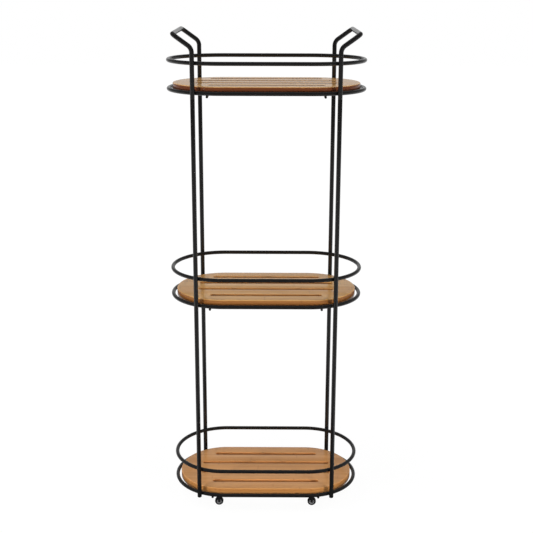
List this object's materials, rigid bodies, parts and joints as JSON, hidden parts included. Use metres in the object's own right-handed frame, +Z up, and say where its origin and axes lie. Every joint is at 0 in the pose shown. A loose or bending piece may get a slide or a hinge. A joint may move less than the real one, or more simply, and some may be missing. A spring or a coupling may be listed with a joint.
{
  "type": "bar cart",
  "caption": "Slim tiered bar cart of black steel rod and tube with oval rail trays, slotted bamboo boards, flared end handles and small swivel casters.",
  "frame": {"origin": "centre of the footprint, on the floor plane under the wheels", "axes": "+Z up, +X to the right along the boards' long side, -Y is the front"},
  "size_m": [0.4508, 0.2508, 1.1335],
  "materials": {
    "black_frame": "satin black powder coat",
    "bamboo": "laminated bamboo under clear semi-gloss lacquer",
    "zinc_steel": "zinc plated",
    "plug_plastic": "moulded black plastic",
    "caster_steel": "black coated pressed steel",
    "wheel_plastic": "moulded black nylon, slightly glossy on the faces"
  },
  "bodies": {
    "cart_frame": {"top_guard_ring": "black_frame", "top_tray_ring": "black_frame", "top_cross_rod_left": "black_frame", "top_cross_rod_right": "black_frame", "middle_guard_ring": "black_frame", "middle_tray_ring": "black_frame", "middle_cross_rod_left": "black_frame", "middle_cross_rod_right": "black_frame", "bottom_guard_ring": "black_frame", "bottom_tray_ring": "black_frame", "bottom_cross_rod_left": "black_frame", "bottom_cross_rod_right": "black_frame", "left_handle_frame": "black_frame", "right_handle_frame": "black_frame", "middle_post_front_left": "black_frame", "lower_post_front_left": "black_frame", "upper_spigot_front_left": "zinc_steel", "lower_spigot_front_left": "zinc_steel", "foot_plug_front_left": "plug_plastic", "caster_socket_front_left": "black_frame", "king_pin_front_left": "zinc_steel", "middle_post_front_right": "black_frame", "lower_post_front_right": "black_frame", "upper_spigot_front_right": "zinc_steel", "lower_spigot_front_right": "zinc_steel", "foot_plug_front_right": "plug_plastic", "caster_socket_front_right": "black_frame", "king_pin_front_right": "zinc_steel", "middle_post_rear_left": "black_frame", "lower_post_rear_left": "black_frame", "upper_spigot_rear_left": "zinc_steel", "lower_spigot_rear_left": "zinc_steel", "foot_plug_rear_left": "plug_plastic", "caster_socket_rear_left": "black_frame", "king_pin_rear_left": "zinc_steel", "middle_post_rear_right": "black_frame", "lower_post_rear_right": "black_frame", "upper_spigot_rear_right": "zinc_steel", "lower_spigot_rear_right": "zinc_steel", "foot_plug_rear_right": "plug_plastic", "caster_socket_rear_right": "black_frame", "king_pin_rear_right": "zinc_steel"},
    "top_shelf": {"top_board": "bamboo"},
    "middle_shelf": {"middle_board": "bamboo"},
    "bottom_shelf": {"bottom_board": "bamboo"},
    "swivel_front_left": {"caster_fork_front_left": "caster_steel", "caster_axle_front_left": "zinc_steel"},
    "wheel_front_left": {"caster_wheel_front_left": "wheel_plastic"},
    "swivel_front_right": {"caster_fork_front_right": "caster_steel", "caster_axle_front_right": "zinc_steel"},
    "wheel_front_right": {"caster_wheel_front_right": "wheel_plastic"},
    "swivel_rear_left": {"caster_fork_rear_left": "caster_steel", "caster_axle_rear_left": "zinc_steel"},
    "wheel_rear_left": {"caster_wheel_rear_left": "wheel_plastic"},
    "swivel_rear_right": {"caster_fork_rear_right": "caster_steel", "caster_axle_rear_right": "zinc_steel"},
    "wheel_rear_right": {"caster_wheel_rear_right": "wheel_plastic"}
  },
  "joints": [
    {"name": "top_shelf_lift", "type": "slide", "parent": "cart_frame", "child": "top_shelf", "axis": [0, 0, 1], "range_m": [0, 0.08]},
    {"name": "middle_shelf_lift", "type": "slide", "parent": "cart_frame", "child": "middle_shelf", "axis": [0, 0, 1], "range_m": [0, 0.08]},
    {"name": "bottom_shelf_lift", "type": "slide", "parent": "cart_frame", "child": "bottom_shelf", "axis": [0, 0, 1], "range_m": [0, 0.08]},
    {"name": "swivel_front_left_turn", "type": "hinge", "parent": "cart_frame", "child": "swivel_front_left", "pos_m": [-0.128, -0.09, 0.0242], "axis": [0, 0, 1], "continuous": true},
    {"name": "wheel_front_left_roll", "type": "hinge", "parent": "swivel_front_left", "child": "wheel_front_left", "pos_m": [-0.1133, -0.09, 0.0102], "axis": [0, 1, 0], "continuous": true},
    {"name": "swivel_front_right_turn", "type": "hinge", "parent": "cart_frame", "child": "swivel_front_right", "pos_m": [0.128, -0.09, 0.0242], "axis": [0, 0, 1], "continuous": true},
    {"name": "wheel_front_right_roll", "type": "hinge", "parent": "swivel_front_right", "child": "wheel_front_right", "pos_m": [0.1133, -0.09, 0.0102], "axis": [0, 1, 0], "continuous": true},
    {"name": "swivel_rear_left_turn", "type": "hinge", "parent": "cart_frame", "child": "swivel_rear_left", "pos_m": [-0.128, 0.09, 0.0242], "axis": [0, 0, 1], "continuous": true},
    {"name": "wheel_rear_left_roll", "type": "hinge", "parent": "swivel_rear_left", "child": "wheel_rear_left", "pos_m": [-0.1133, 0.09, 0.0102], "axis": [0, 1, 0], "continuous": true},
    {"name": "swivel_rear_right_turn", "type": "hinge", "parent": "cart_frame", "child": "swivel_rear_right", "pos_m": [0.128, 0.09, 0.0242], "axis": [0, 0, 1], "continuous": true},
    {"name": "wheel_rear_right_roll", "type": "hinge", "parent": "swivel_rear_right", "child": "wheel_rear_right", "pos_m": [0.1133, 0.09, 0.0102], "axis": [0, 1, 0], "continuous": true}
  ]
}
